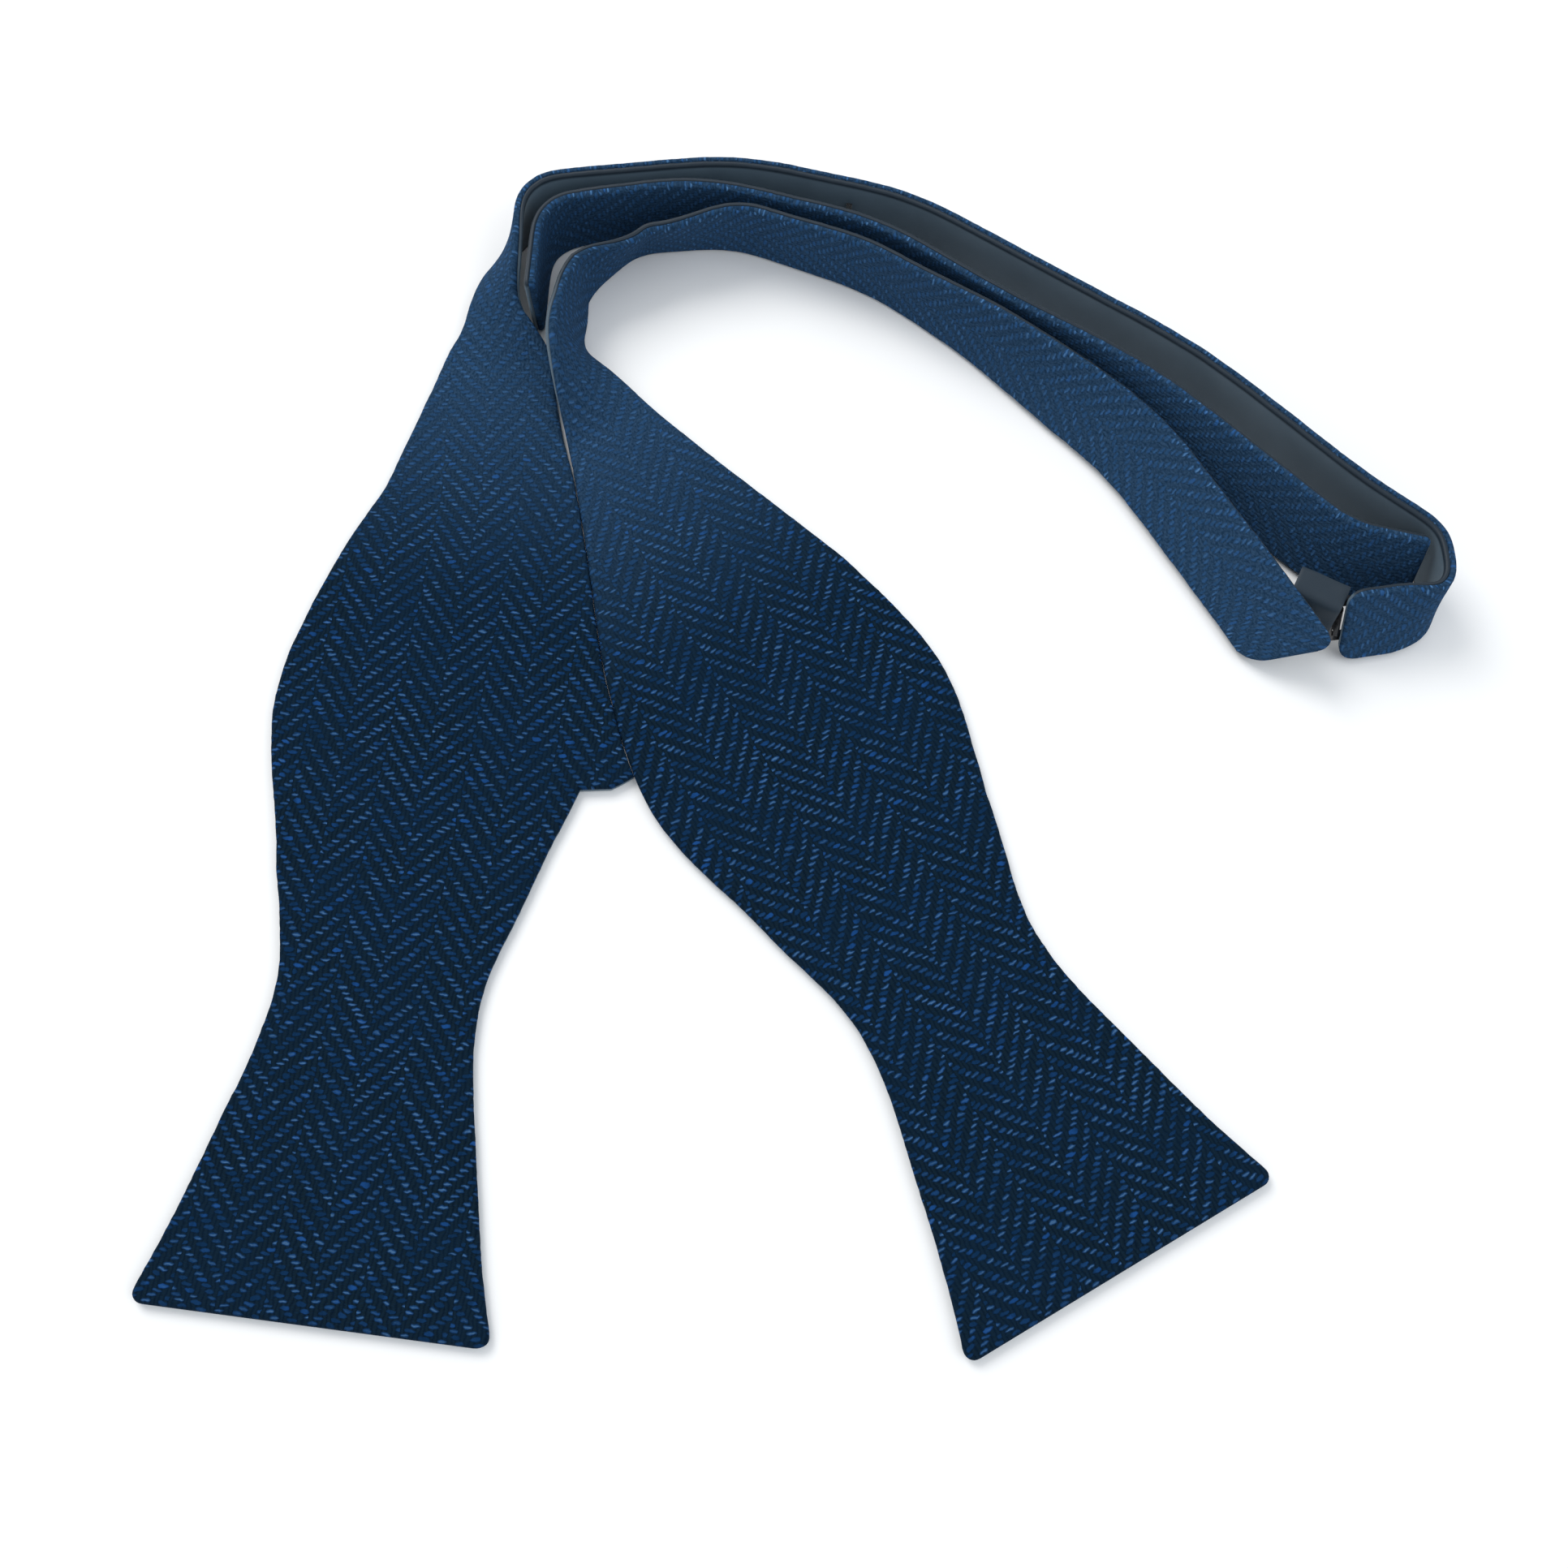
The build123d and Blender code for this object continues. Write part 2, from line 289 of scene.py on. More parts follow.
def shell_faces(rows, width):
    """Quads that close an upper and a lower sheet of rows x width points."""
    faces = []
    half = rows * width
    for base in (0, half):
        for i in range(rows - 1):
            for j in range(width - 1):
                a = base + i * width + j
                quad = (a, a + 1, a + width + 1, a + width)
                faces.append(quad if base else quad[::-1])
    for i in range(rows - 1):
        for j in (0, width - 1):
            a, b = i * width + j, (i + 1) * width + j
            quad = (a, b, b + half, a + half)
            faces.append(quad if j else quad[::-1])
    for i in (0, rows - 1):
        for j in range(width - 1):
            a = i * width + j
            quad = (a, a + 1, a + 1 + half, a + half)
            faces.append(quad[::-1] if i else quad)
    return faces


class Ribbon:
    """A sewn ribbon: sections along it, half widths on both sides, rounded ends.

    weave_from is the length of cloth before the ribbon's start in the weave's map.
    """

    def __init__(self, sections, left_w, right_w, seed, round_start=0.0, round_end=0.0, weave_from=0.0):
        self.sections, self.left_w, self.right_w, self.seed = sections, left_w, right_w, seed
        self.round_start, self.round_end, self.weave_from = round_start, round_end, weave_from
        self.first, self.last = sections[0].s, sections[-1].s

    def ends_near(self, row, inset, from_s, to_s):
        """(distance, corner radius) for each rounded end that a piece reaches."""
        ends = []
        if self.round_start and from_s <= self.first:
            ends.append((max(row.s - self.first - inset, 0.0), self.round_start))
        if self.round_end and to_s >= self.last:
            ends.append((max(self.last - row.s - inset, 0.0), self.round_end))
        return ends

    def side_points(self, row, side, half_w, ends):
        """(place across, distance in from the outline) from one edge towards the middle."""
        ragged = self.seed + side
        w = half_w + (0.10 * wave(row.s, 0, 1.1, ragged) + 0.12 * wave(row.s, 0, 6.0, ragged))
        cut = max([0.0] + [r - sqrt(r * r - (r - b) ** 2) for b, r in ends if b < r])
        edge = max(w - cut, 0.2)
        places = [edge - d for d in SIDE_LINES]
        places += [(edge - SIDE_LINES[-1]) * k / INNER_LINES for k in range(INNER_LINES - 1, 0, -1)]
        points = []
        for t in places:
            d = min([w - t] + [edge_distance(w - t, b, r) for b, r in ends])
            points.append((side * t, max(d, 0.0)))
        return points

    def mesh(self, name, layer, material, from_s, to_s):
        """One layer of the ribbon between two distances, as a closed piece."""
        rim, top, back, edge_r, inset = LAYERS[layer]
        rows = [x for x in self.sections if from_s - 1e-6 <= x.s <= to_s + 1e-6]
        verts, uvs = [], []
        for body in (top, back):
            for row in rows:
                ends = self.ends_near(row, inset, from_s, to_s)
                middle = (0.0, min([self.left_w(row.s)] + [b for b, _ in ends]))
                line = self.side_points(row, -1, self.left_w(row.s) - inset, ends) + [middle]
                line += self.side_points(row, 1, self.right_w(row.s) - inset, ends)[::-1]
                for t, d in line:
                    z = rim + (body - rim) * rim_curve(d, edge_r)
                    if body == TWEED_TOP:
                        z -= FACE_DIP * smooth((d - 2.0) / 5.0)
                    verts.append((row.middle + (row.across - row.slant) * t + row.out * z) * MM)
                    uvs.append((t * MM, (row.s + self.weave_from) * MM))
        return make_object(name, verts, shell_faces(len(rows), len(line)), uvs, material)


def make_object(name, verts, faces, uvs, material):
    """Mesh object with a weave map in metres and smooth shading."""
    mesh = bpy.data.meshes.new(name)
    mesh.from_pydata(verts, [], faces)
    layer = mesh.uv_layers.new(name="weave")
    for loop in mesh.loops:
        layer.data[loop.index].uv = uvs[loop.vertex_index]
    bm = bmesh.new()
    bm.from_mesh(mesh)
    bmesh.ops.remove_doubles(bm, verts=bm.verts, dist=MERGE)
    bmesh.ops.dissolve_degenerate(bm, edges=bm.edges, dist=MERGE / 4)
    bmesh.ops.recalc_face_normals(bm, faces=bm.faces)
    bm.to_mesh(mesh)
    bm.free()
    mesh.shade_smooth()
    mesh.set_sharp_from_angle(angle=radians(58))
    mesh.materials.append(material)
    obj = bpy.data.objects.new(name, mesh)
    bpy.context.scene.collection.objects.link(obj)
    return obj


# ---- materials ---------------------------------------------------------------------------
class Tree:
    """Small wrapper that builds a material's nodes by name."""

    def __init__(self, name):
        self.material = bpy.data.materials.new(name)
        self.material.use_nodes = True
        self.nodes = self.material.node_tree.nodes
        self.links = self.material.node_tree.links
        self.shader = self.nodes["Principled BSDF"]

    def put(self, socket, value):
        if isinstance(value, bpy.types.NodeSocket):
            self.links.new(value, socket)
        elif value is not None:
            socket.default_value = value

    def math(self, op, a, b=None, c=None):
        node = self.nodes.new("ShaderNodeMath")
        node.operation = op
        for socket, value in zip(node.inputs, (a, b, c)):
            self.put(socket, value)
        return node.outputs[0]

    def remap(self, value, low, high, to_low=0.0, to_high=1.0):
        node = self.nodes.new("ShaderNodeMapRange")
        node.interpolation_type = "SMOOTHSTEP"
        for socket, v in zip(node.inputs, (value, low, high, to_low, to_high)):
            self.put(socket, v)
        return node.outputs[0]

    def mix(self, factor, a, b):
        node = self.nodes.new("ShaderNodeMix")
        node.data_type = "RGBA"
        self.put(node.inputs[0], factor)
        self.put(node.inputs[6], a)
        self.put(node.inputs[7], b)
        return node.outputs[2]

    def vector(self, x, y, z=0.0):
        node = self.nodes.new("ShaderNodeCombineXYZ")
        for socket, v in zip(node.inputs, (x, y, z)):
            self.put(socket, v)
        return node.outputs[0]

    def noise(self, vector, scale, detail=2.0, roughness=0.5):
        node = self.nodes.new("ShaderNodeTexNoise")
        self.put(node.inputs["Vector"], vector)
        node.inputs["Scale"].default_value = scale
        node.inputs["Detail"].default_value = detail
        node.inputs["Roughness"].default_value = roughness
        return node.outputs[0]

    def weave_mm(self):
        """Distances across and along the cloth in millimetres."""
        uv = self.nodes.new("ShaderNodeUVMap")
        uv.uv_map = "weave"
        split = self.nodes.new("ShaderNodeSeparateXYZ")
        self.links.new(uv.outputs[0], split.inputs[0])
        across, along = split.outputs[0], split.outputs[1]
        return self.math("MULTIPLY", across, 1000.0), self.math("MULTIPLY", along, 1000.0)

    def bump(self, height, distance, strength=1.0):
        node = self.nodes.new("ShaderNodeBump")
        node.inputs["Strength"].default_value = strength
        node.inputs["Distance"].default_value = distance
        self.links.new(height, node.inputs["Height"])
        self.links.new(node.outputs[0], self.shader.inputs["Normal"])


WARP_PITCH = 0.83       # millimetres between warp threads
WEFT_PITCH = 0.98       # millimetres between weft threads
COLUMN_W = 10 * WARP_PITCH

# ---- yarn and nap colours -----------------------------------------------------------------
WARP_LOW, WARP_HIGH = (0.0006, 0.0050, 0.012, 1), (0.0042, 0.0125, 0.021, 1)
WARP_FIBRE = (0.0045, 0.024, 0.064, 1)
WEFT_LOW, WEFT_HIGH = (0.0030, 0.0210, 0.062, 1), (0.0090, 0.049, 0.150, 1)
SLUB_BLUE = (0.010, 0.066, 0.24, 1)
# painted highlight: the colour of the lit crown of each weft dash
PAINTED_GLINT_BLUE = (0.085, 0.185, 0.330, 1)
# lighter nap colours: partly the cloth's fuzzy fibres, partly painted sheen
NAP_SHEEN_WEFT = (0.050, 0.150, 0.330, 1)
NAP_SHEEN_LOW, NAP_SHEEN_HIGH = (0.0080, 0.0290, 0.066, 1), (0.0340, 0.078, 0.150, 1)
CLOUD_BLUE = (0.0026, 0.016, 0.042, 1)
SHEEN_TINT = (0.10, 0.33, 0.75, 1)
SATIN_LOW, SATIN_HIGH = (0.086, 0.130, 0.170, 1), (0.110, 0.160, 0.205, 1)
SATIN_LINE = (0.066, 0.100, 0.134, 1)
# painted shade for the lining's strap rims and for the darker hook patch
SATIN_PAINTED_SHADE = (0.010, 0.020, 0.032, 1)


def tweed(name, nap_and_sheen, edge_at, neck_at=None):
    """Blue weft over black warp in a 2/2 herringbone, with slubs and a fuzzy nap.

    The second argument is how far a lighter blue nap covers the face: partly the
    cloth's own fuzzy fibres, partly painted sheen on its turned surfaces. Near edge_at
    millimetres from the middle the weave shows fully and its dash crowns brighten, a
    painted highlight along the rims. With neck_at the nap and its painted sheen only
    come up towards that distance along the cloth.
    """
    m = Tree(name)
    across, along = m.weave_mm()
    flat = m.vector(across, along)
    wobble_u = m.math("SUBTRACT", m.noise(flat, 0.30, 3.0, 0.6), 0.5)
    wobble_v = m.math("SUBTRACT", m.noise(m.vector(along, across, 9.0), 0.30, 3.0, 0.6), 0.5)
    u = m.math("MULTIPLY_ADD", wobble_u, 1.9, across)
    v = m.math("MULTIPLY_ADD", wobble_v, 1.6, along)
    rows = m.math("DIVIDE", v, WEFT_PITCH)
    row = m.math("FLOOR", rows)
    in_row = m.math("MULTIPLY_ADD", m.math("FRACT", rows), 2.0, -1.0)
    columns = m.math("DIVIDE", u, COLUMN_W)
    column = m.math("FLOOR", columns)
    turn = m.math("MULTIPLY_ADD", m.math("PINGPONG", column, 1.0), -2.0, 1.0)
    local = m.math("MULTIPLY", m.math("FRACT", columns), COLUMN_W / WARP_PITCH)
    slanted = m.math("MULTIPLY", local, turn)
    turns = m.math("DIVIDE", m.math("SUBTRACT", slanted, row), 4.0)
    phase = m.math("FRACT", turns)
    stitch = m.math("FLOOR", turns)
    in_dash = m.math("MULTIPLY", m.math("SUBTRACT", phase, 0.25), 4.0)
    reach = m.math("MULTIPLY", in_dash, in_dash)
    rise = m.math("MULTIPLY", in_row, in_row)
    each = m.nodes.new("ShaderNodeTexWhiteNoise")
    m.put(each.inputs["Vector"], m.vector(m.math("MULTIPLY_ADD", column, 17.0, stitch), row, 3.0))
    chance = each.outputs[0]
    fibre = m.noise(m.vector(m.math("MULTIPLY", u, 1.2), m.math("MULTIPLY", v, 7.0), 1.0), 1.0, 3.0, 0.7)
    ragged = m.math("MULTIPLY_ADD", fibre, 0.8, m.math("MULTIPLY_ADD", chance, 0.4, -0.6))
    spread = m.math("ADD", m.math("MULTIPLY_ADD", rise, 1.6, m.math("MULTIPLY", reach, 0.8)), ragged)
    dash = m.remap(spread, 1.30, 0.40)
    core = m.remap(m.math("MULTIPLY_ADD", rise, 7.0, m.math("MULTIPLY", reach, 0.8)), 1.0, 0.0)
    # the warp's black floats between the dashes
    in_warp = m.math("MULTIPLY_ADD", m.math("FRACT", local), 2.0, -1.0)
    warp_round = m.math("SUBTRACT", 1.0, m.math("MULTIPLY", in_warp, in_warp))
    # melange of the weft from stitch to stitch, and slubs that run along it
    strand_at = m.vector(m.math("MULTIPLY", u, 0.45), m.math("MULTIPLY", row, 3.7), 2.0)
    strand = m.noise(strand_at, 1.0, 3.0, 0.7)
    slub_at = m.vector(m.math("MULTIPLY", u, 0.16), m.math("MULTIPLY", row, 0.9), 5.0)
    slub = m.remap(m.noise(slub_at, 1.0, 2.0), 0.56, 0.70)
    cloud = m.noise(flat, 0.05, 3.0, 0.6)
    nap = m.noise(m.vector(m.math("MULTIPLY", u, 2.3), m.math("MULTIPLY", v, 1.6), 4.0), 1.0, 4.0, 0.75)
    # painted highlight along the strap rims: there the weave shows fully and the dash crowns brighten
    edge = m.remap(m.math("ABSOLUTE", across), edge_at - 2.6, edge_at - 1.0)
    edge = m.math("MULTIPLY", edge, m.remap(along, NECK_CREASE_S + 14.0, NECK_CREASE_S + 36.0))
    # cover of the lighter nap with its painted sheen: all over a strap, rising along a blade towards its
    # neck
    nap_sheen_cover = m.remap(along, neck_at - 60.0, neck_at + 10.0, 0.0, nap_and_sheen) if neck_at else nap_and_sheen
    clear = m.math("MAXIMUM", edge, m.math("MULTIPLY_ADD", nap_sheen_cover, -0.42, 1.0))
    tone = m.math("ADD", m.math("MULTIPLY", chance, 0.5), m.math("MULTIPLY", strand, 0.6))
    navy = m.mix(m.remap(tone, 0.25, 0.85), WEFT_LOW, WEFT_HIGH)
    weft = m.mix(m.math("MULTIPLY", slub, 0.85), navy, SLUB_BLUE)
    # painted highlight on each dash's crown, patchy by fibre noise and stronger near the rims
    painted_glint_noise = m.math("MULTIPLY_ADD", fibre, 0.5, m.math("MULTIPLY", chance, 0.5))
    painted_glint = m.math("MULTIPLY", core, m.remap(painted_glint_noise, 0.42, 0.85))
    weft = m.mix(m.math("MULTIPLY", painted_glint, m.math("MULTIPLY_ADD", edge, 1.2, 0.75)), weft, PAINTED_GLINT_BLUE)
    warp = m.mix(warp_round, WARP_LOW, WARP_HIGH)
    warp = m.mix(m.math("MULTIPLY", m.remap(fibre, 0.45, 0.75), 0.5), warp, WARP_FIBRE)
    # lighter blue nap that hides the weave: partly the cloth's own fuzzy fibres, partly painted sheen on
    # the turned necks and straps
    nap_fuzz_and_sheen = m.mix(m.remap(nap, 0.35, 0.65), NAP_SHEEN_LOW, NAP_SHEEN_HIGH)
    ground = m.mix(nap_sheen_cover, warp, nap_fuzz_and_sheen)
    weft = m.mix(m.math("MULTIPLY", nap_sheen_cover, 0.75), weft, m.mix(0.6, weft, NAP_SHEEN_WEFT))
    shown = m.math("MULTIPLY", dash, clear)
    cloth = m.mix(shown, ground, weft)
    shade = m.mix(nap_sheen_cover, CLOUD_BLUE, nap_fuzz_and_sheen)
    cloth = m.mix(m.remap(cloud, 0.3, 0.7, 0.0, 0.3), cloth, shade)
    m.put(m.shader.inputs["Base Color"], cloth)
    relief = m.math("MULTIPLY_ADD", shown, 0.75, m.math("MULTIPLY", warp_round, 0.3))
    fine = m.math("MULTIPLY_ADD", m.math("ADD", fibre, nap), 0.22, relief)
    m.bump(fine, 0.00030, 0.85)
    m.shader.inputs["Roughness"].default_value = 0.92
    m.shader.inputs["Specular IOR Level"].default_value = 0.05
    m.shader.inputs["Sheen Weight"].default_value = 0.05
    m.shader.inputs["Sheen Roughness"].default_value = 0.5
    m.shader.inputs["Sheen Tint"].default_value = SHEEN_TINT
    return m.material


def satin(name, painted_shade):
    """Charcoal lining with a fine diagonal twill and a soft sheen; the second argument darkens it all as
    painted shade, and its rims on the straps are darkened as painted shade too.
    """
    m = Tree(name)
    across, along = m.weave_mm()
    flat = m.vector(across, along)
    line = m.math("FRACT", m.math("MULTIPLY_ADD", across, 3.1, m.math("MULTIPLY", along, 3.1)))
    ridge = m.math("PINGPONG", line, 0.5)
    pressed = m.noise(flat, 0.06, 3.0, 0.6)
    grain = m.noise(m.vector(m.math("MULTIPLY", across, 3.0), m.math("MULTIPLY", along, 9.0)), 1.0, 3.0)
    colour = m.mix(m.remap(pressed, 0.3, 0.7), SATIN_LOW, SATIN_HIGH)
    colour = m.mix(m.math("MULTIPLY", ridge, 0.7), colour, SATIN_LINE)
    # painted shade along the lining's rims on the straps
    rim = m.remap(m.math("ABSOLUTE", across), STRAP_HALF_W - 1.5, STRAP_HALF_W - 0.7)
    rim = m.math("MULTIPLY", rim, m.remap(along, NECK_CREASE_S + 14.0, NECK_CREASE_S + 36.0))
    colour = m.mix(m.math("MAXIMUM", rim, painted_shade), colour, SATIN_PAINTED_SHADE)
    m.put(m.shader.inputs["Base Color"], colour)
    m.bump(m.math("MULTIPLY_ADD", grain, 0.4, m.math("MULTIPLY", ridge, 0.5)), 0.00006, 0.6)
    m.put(m.shader.inputs["Roughness"], m.remap(grain, 0.3, 0.7, 0.42, 0.55))
    m.shader.inputs["Specular IOR Level"].default_value = 0.30
    m.shader.inputs["Sheen Weight"].default_value = 0.12
    m.shader.inputs["Sheen Roughness"].default_value = 0.35
    return m.material


def enamel():
    """Black enamelled clasp wire, slightly uneven and scuffed."""
    m = Tree("black_enamel")
    coord = m.nodes.new("ShaderNodeTexCoord")
    rub = m.noise(coord.outputs["Object"], 900.0, 4.0, 0.6)
    colour = m.mix(m.remap(rub, 0.55, 0.75), (0.012, 0.012, 0.014, 1), (0.07, 0.07, 0.075, 1))
    m.put(m.shader.inputs["Base Color"], colour)
    m.put(m.shader.inputs["Roughness"], m.remap(rub, 0.3, 0.8, 0.25, 0.5))
    m.bump(rub, 0.00003, 0.5)
    m.shader.inputs["Coat Weight"].default_value = 0.4
    return m.material


def thread():
    """Black twisted sewing thread."""
    m = Tree("black_thread")
    coord = m.nodes.new("ShaderNodeTexCoord")
    split = m.nodes.new("ShaderNodeSeparateXYZ")
    m.links.new(coord.outputs["Object"], split.inputs[0])
    slope = m.math("ADD", split.outputs[2], m.math("MULTIPLY", split.outputs[0], 0.6))
    twist = m.math("SINE", m.math("MULTIPLY", slope, 16000.0))
    colour = m.mix(m.remap(twist, -1.0, 1.0), (0.006, 0.007, 0.008, 1), (0.018, 0.020, 0.023, 1))
    m.put(m.shader.inputs["Base Color"], colour)
    m.bump(twist, 0.00005, 0.7)
    m.shader.inputs["Roughness"].default_value = 0.6
    m.shader.inputs["Sheen Weight"].default_value = 0.3
    return m.material


def plain(name, colour, roughness):
    """Plain matte stage surface."""
    m = Tree(name)
    m.shader.inputs["Base Color"].default_value = colour
    m.shader.inputs["Roughness"].default_value = roughness
    return m.material


# how far the lighter nap, partly painted sheen, covers the tweed
NAP_AND_SHEEN = 0.75
NO_EDGE = 60.0          # beyond any cloth, so that a blade's edges look like its middle
BLADE_TWEED = tweed("herringbone_tweed", NAP_AND_SHEEN, NO_EDGE, NECK_CREASE_S)
STRAP_TWEED = tweed("herringbone_tweed_strap", NAP_AND_SHEEN, STRAP_HALF_W)
# the hook patch's lining is the same satin, darkened as painted shade
SATIN, SHADED_PATCH_SATIN = satin("charcoal_satin", 0.0), satin("charcoal_satin_shaded_patch", 0.95)
ENAMEL, THREAD = enamel(), thread()


# ---- the two halves of the tie -------------------------------------------------------------
def blade_width(s):
    """Half width of a blade and its strap at a distance from the straight end."""
    return through(BLADE_SIDE, s)


def strap_width(_):
    """Half width of the plain strap, the same all along."""
    return STRAP_HALF_W


def left_width(s):
    """Half width of the left ribbon's outer side, a little fuller at its neck."""
    fuller = 0.6 * smooth((s - 165.0) / 12.0) * (1 - smooth((s - 198.0) / 12.0))
    return blade_width(s) + fuller - 1.6 * smooth((s - 200.0) / 9.0) * (1 - smooth((s - 214.0) / 12.0))


left_rows = sections_of(
    rounded_route([LEFT_TIP] + LEFT_BENDS + REAR_CORNERS, LEFT_BEND_RADII + REAR_RADII),
    REAR_ROLL, LEFT_SIDE, NECK_CREASE_S)
right_rows = sections_of(
    rounded_route([RIGHT_TIP] + FRONT_CORNERS, FRONT_RADII),
    FRONT_ROLL, RIGHT_SIDE, NECK_CREASE_S, FRONT_SKEW)
tail_rows = sections_of(rounded_route(TAIL_CORNERS, TAIL_RADII), TAIL_ROLL, RIGHT_SIDE)


def meets_right(row, width):
    """Whether a left section reaches into the right ribbon's plan at this half width."""
    edge = row.middle + row.across * width
    places = [(hypot(x.middle.x - edge.x, x.middle.y - edge.y), x) for x in right_rows[:RIGHT_ROWS_NEAR]]
    gone, near = min(places, key=lambda place: place[0])
    gap = BLADE_GAP + (NECK_GAP - BLADE_GAP) * smooth((near.s - GAP_FROM) / GAP_EASE)
    return gone < blade_width(near.s) * hypot(near.across.x, near.across.y) + gap


def free_width(row, over):
    """Greatest half width of a left section that stays clear of the right ribbon."""
    width = CLEAR_W
    for _ in range(HALVINGS):
        middle_w = (width + over) / 2
        if meets_right(row, middle_w):
            over = middle_w
        else:
            width = middle_w
    return width


def inner_width(row):
    """Half width of the left ribbon's inner side: beside the right blade, then up to its neck."""
    width = left_width(row.s)
    if MEET_FROM < row.s < MEET_TO:
        full_w = width + NECK_SPREAD * (1 - smooth((row.s - NECK_CREASE_S) / SPREAD_EASE))
        if meets_right(row, full_w):
            return free_width(row, full_w)
        if row.s > SPREAD_FROM:
            return full_w
    return width


# the left blade's inner edge ends where the right blade's edge begins
inner_limit = {row.s: inner_width(row) for row in left_rows}
left_inner = {}
for row in left_rows:       # eased where it leaves the right blade's edge
    reach = 5.0 if row.s > 188.0 else 3.0
    near = [inner_limit[x.s] for x in left_rows if abs(x.s - row.s) <= reach]
    eased_in = sum(near) / len(near)
    left_inner[row.s] = eased_in if row.s > 201.0 else min(inner_limit[row.s], eased_in)

left_half = Ribbon(left_rows, left_width, lambda s: left_inner[s], 3, TIP_CORNER_R, LEFT_END_CORNER_R)
right_half = Ribbon(right_rows, blade_width, blade_width, 11, TIP_CORNER_R, RIGHT_END_CORNER_R)
tail_strap = Ribbon(tail_rows, strap_width, strap_width, 23, TAIL_CORNER_R, TAIL_CORNER_R,
                    weave_from=TAIL_WEAVE_FROM)


def sewn(ribbon, name, nodes, body, other=None, cloth=STRAP_TWEED,
         span=None, area=None):
    """Make a ribbon's tweed and lining pieces, hide the CAD parts they stand for, and attach them to a
    body or bake them in place.
    """
    from_s, to_s = span or (ribbon.first, ribbon.last)
    for layer, kinds, material in (("tweed", ("face", "canvas"), cloth), ("lining", ("lining",), SATIN)):
        piece = ribbon.mesh(f"{name}_{layer}_cloth", layer, material, from_s, to_s)
        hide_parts(*[f"{node}_{kind}" for node in nodes for kind in kinds])
        if other:
            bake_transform(piece)
        else:
            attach(piece, body)


def blade_area():
    """Flat area of a blade in square metres."""
    return sum(2 * blade_width(s) for s in range(round(NECK_CREASE_S))) * MM * MM


for side_name, strap_name, ribbon, tip, heading in (
        ("left", "rear_strap", left_half, LEFT_TIP, LEFT_HEADING),
        ("right", "front_strap", right_half, RIGHT_TIP, RIGHT_HEADING)):
    sewn(ribbon, f"{side_name}_blade", (f"{side_name}_end", f"{side_name}_bulb"), f"{side_name}_end",
         f"{side_name}_blade", BLADE_TWEED, span=(0.0, NECK_CREASE_S),
         area=blade_area())
    sewn(ribbon, f"{side_name}_neck", (strap_name,), f"{side_name}_blade", "neckband",
         span=(NECK_CREASE_S, NECK_END_S))
    sewn(ribbon, strap_name, (strap_name,), "neckband", span=(NECK_END_S, ribbon.last))
sewn(tail_strap, "tail_strap", ("tail_strap",), "neckband")

# ---- clasp: a lining patch folded over the hook, and the CAD's wire and thread finished ---------------
PATCH_AT = Vector((95.5, 18.5, 0.0))
PATCH_ALONG = Vector((0.894, -0.447, 0.0))
PATCH_BACK = Vector((0.447, 0.894, 0.0))
PATCH_FOLD = [(-5.2, 1.2), (-0.8, 12.3), (4.6, 12.9)]      # (backwards, height)
PATCH_FOLD_R = 1.4
PATCH_ENDS = (-5.4, 4.8)
PATCH_T = 0.5
PATCH_CREASING = 0.4     # height of its shallow waves
PATCH_STEP = 0.3         # millimetres between its rows
PATCH_COLUMNS = 30


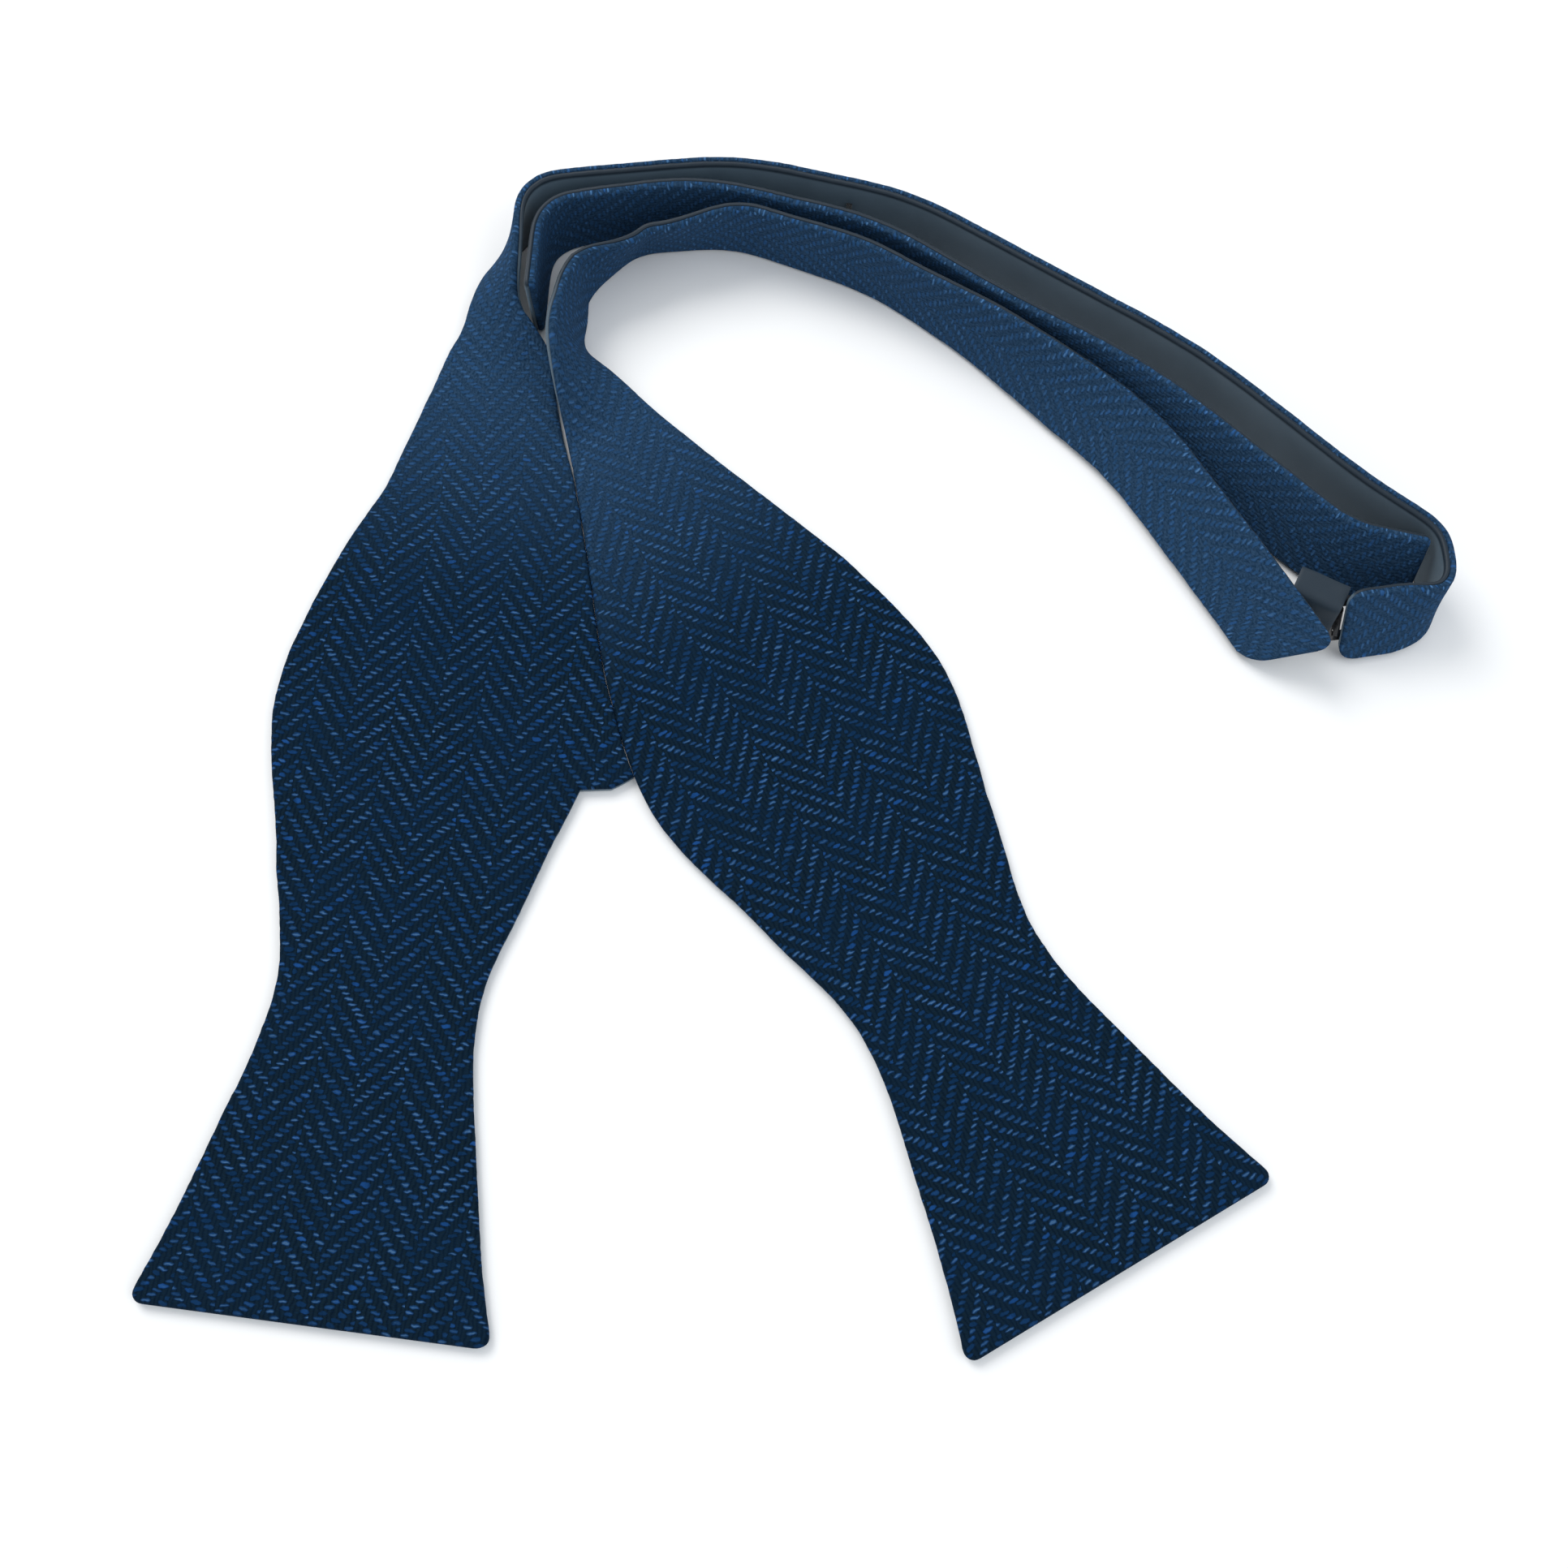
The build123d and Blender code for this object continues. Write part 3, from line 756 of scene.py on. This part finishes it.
def patch():
    """Lining patch over the hook, as a closed folded sheet."""
    fold = soften(rounded_route(PATCH_FOLD, [PATCH_FOLD_R], PATCH_STEP), 3)
    verts, uvs = [], []
    for side in (1, -1):
        for i, place in enumerate(fold):
            t = (fold[min(i + 1, len(fold) - 1)] - fold[max(i - 1, 0)]).normalized()
            from_end = min(i, len(fold) - 1 - i) / 2
            for k in range(PATCH_COLUMNS + 1):
                along = PATCH_ENDS[0] + (PATCH_ENDS[1] - PATCH_ENDS[0]) * k / PATCH_COLUMNS
                from_side = min(k, PATCH_COLUMNS - k)
                rim = rim_curve(from_side + 0.3, 2.0) * min(1.0, from_end + 0.35)
                off = side * PATCH_T / 2 * rim + PATCH_CREASING * wave(along, i * PATCH_STEP, 4.0, 5)
                at = PATCH_AT + PATCH_ALONG * along + PATCH_BACK * (place.x - t.y * off)
                verts.append((at + Vector((0, 0, place.y + t.x * off))) * MM)
                uvs.append((along * MM, i * PATCH_STEP * MM))
    faces = shell_faces(len(fold), PATCH_COLUMNS + 1)
    # the patch's satin is the darkened copy, as painted shade
    piece = make_object("hook_patch", verts, faces, uvs, SHADED_PATCH_SATIN)
    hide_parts("hook_tab")
    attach(piece, "neckband")


patch()

for node_name, material in (("eye", ENAMEL), ("hook", ENAMEL), ("bar_tacks", THREAD)):
    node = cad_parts[node_name]
    if not node.material_slots:
        node.data.materials.append(material)
    for material_slot in node.material_slots:
        material_slot.link = "OBJECT"
        material_slot.material = material


# ---- light, floor and camera -------------------------------------------------------------------
FLOOR_HALF = 2.0
FLOOR_Z = -0.0001
corners = ((-1, -1), (1, -1), (1, 1), (-1, 1))
floor = make_object("floor", [Vector((x * FLOOR_HALF, y * FLOOR_HALF, FLOOR_Z)) for x, y in corners],
                    [(0, 1, 2, 3)], [(0, 0), (1, 0), (1, 1), (0, 1)],
                    plain("pale_table", (0.90, 0.90, 0.90, 1), 0.9))

scene = bpy.context.scene
scene.view_settings.view_transform = "Standard"
scene.view_settings.look = "None"
world = bpy.data.worlds.new("studio")
world.use_nodes = True
world.node_tree.nodes["Background"].inputs[0].default_value = (0.92, 0.96, 1.0, 1)
world.node_tree.nodes["Background"].inputs[1].default_value = 0.75
scene.world = world


def lamp(name, place, target, size, power, colour):
    """Soft square light aimed at a place, in metres."""
    data = bpy.data.lights.new(name, "AREA")
    data.size, data.energy, data.color = size, power, colour
    obj = bpy.data.objects.new(name, data)
    obj.location = place
    obj.rotation_euler = (Vector(target) - Vector(place)).to_track_quat("-Z", "Y").to_euler()
    scene.collection.objects.link(obj)


lamp("key", (-0.55, 0.65, 0.95), (0, 0, 0), 0.7, 9.0, (1.0, 0.98, 0.95))
lamp("fill", (0.8, -0.4, 0.9), (0, 0, 0), 0.9, 4.0, (0.9, 0.95, 1.0))

camera = bpy.data.objects.new("camera", bpy.data.cameras.new("camera"))
camera.location = Vector(CAMERA_AT) * MM
camera.rotation_euler = (radians(90 - CAMERA_PITCH), 0, 0)
camera.data.lens = CAMERA_LENS
camera.data.sensor_width = 36.0
camera.data.clip_start = 0.01
scene.collection.objects.link(camera)
scene.camera = camera
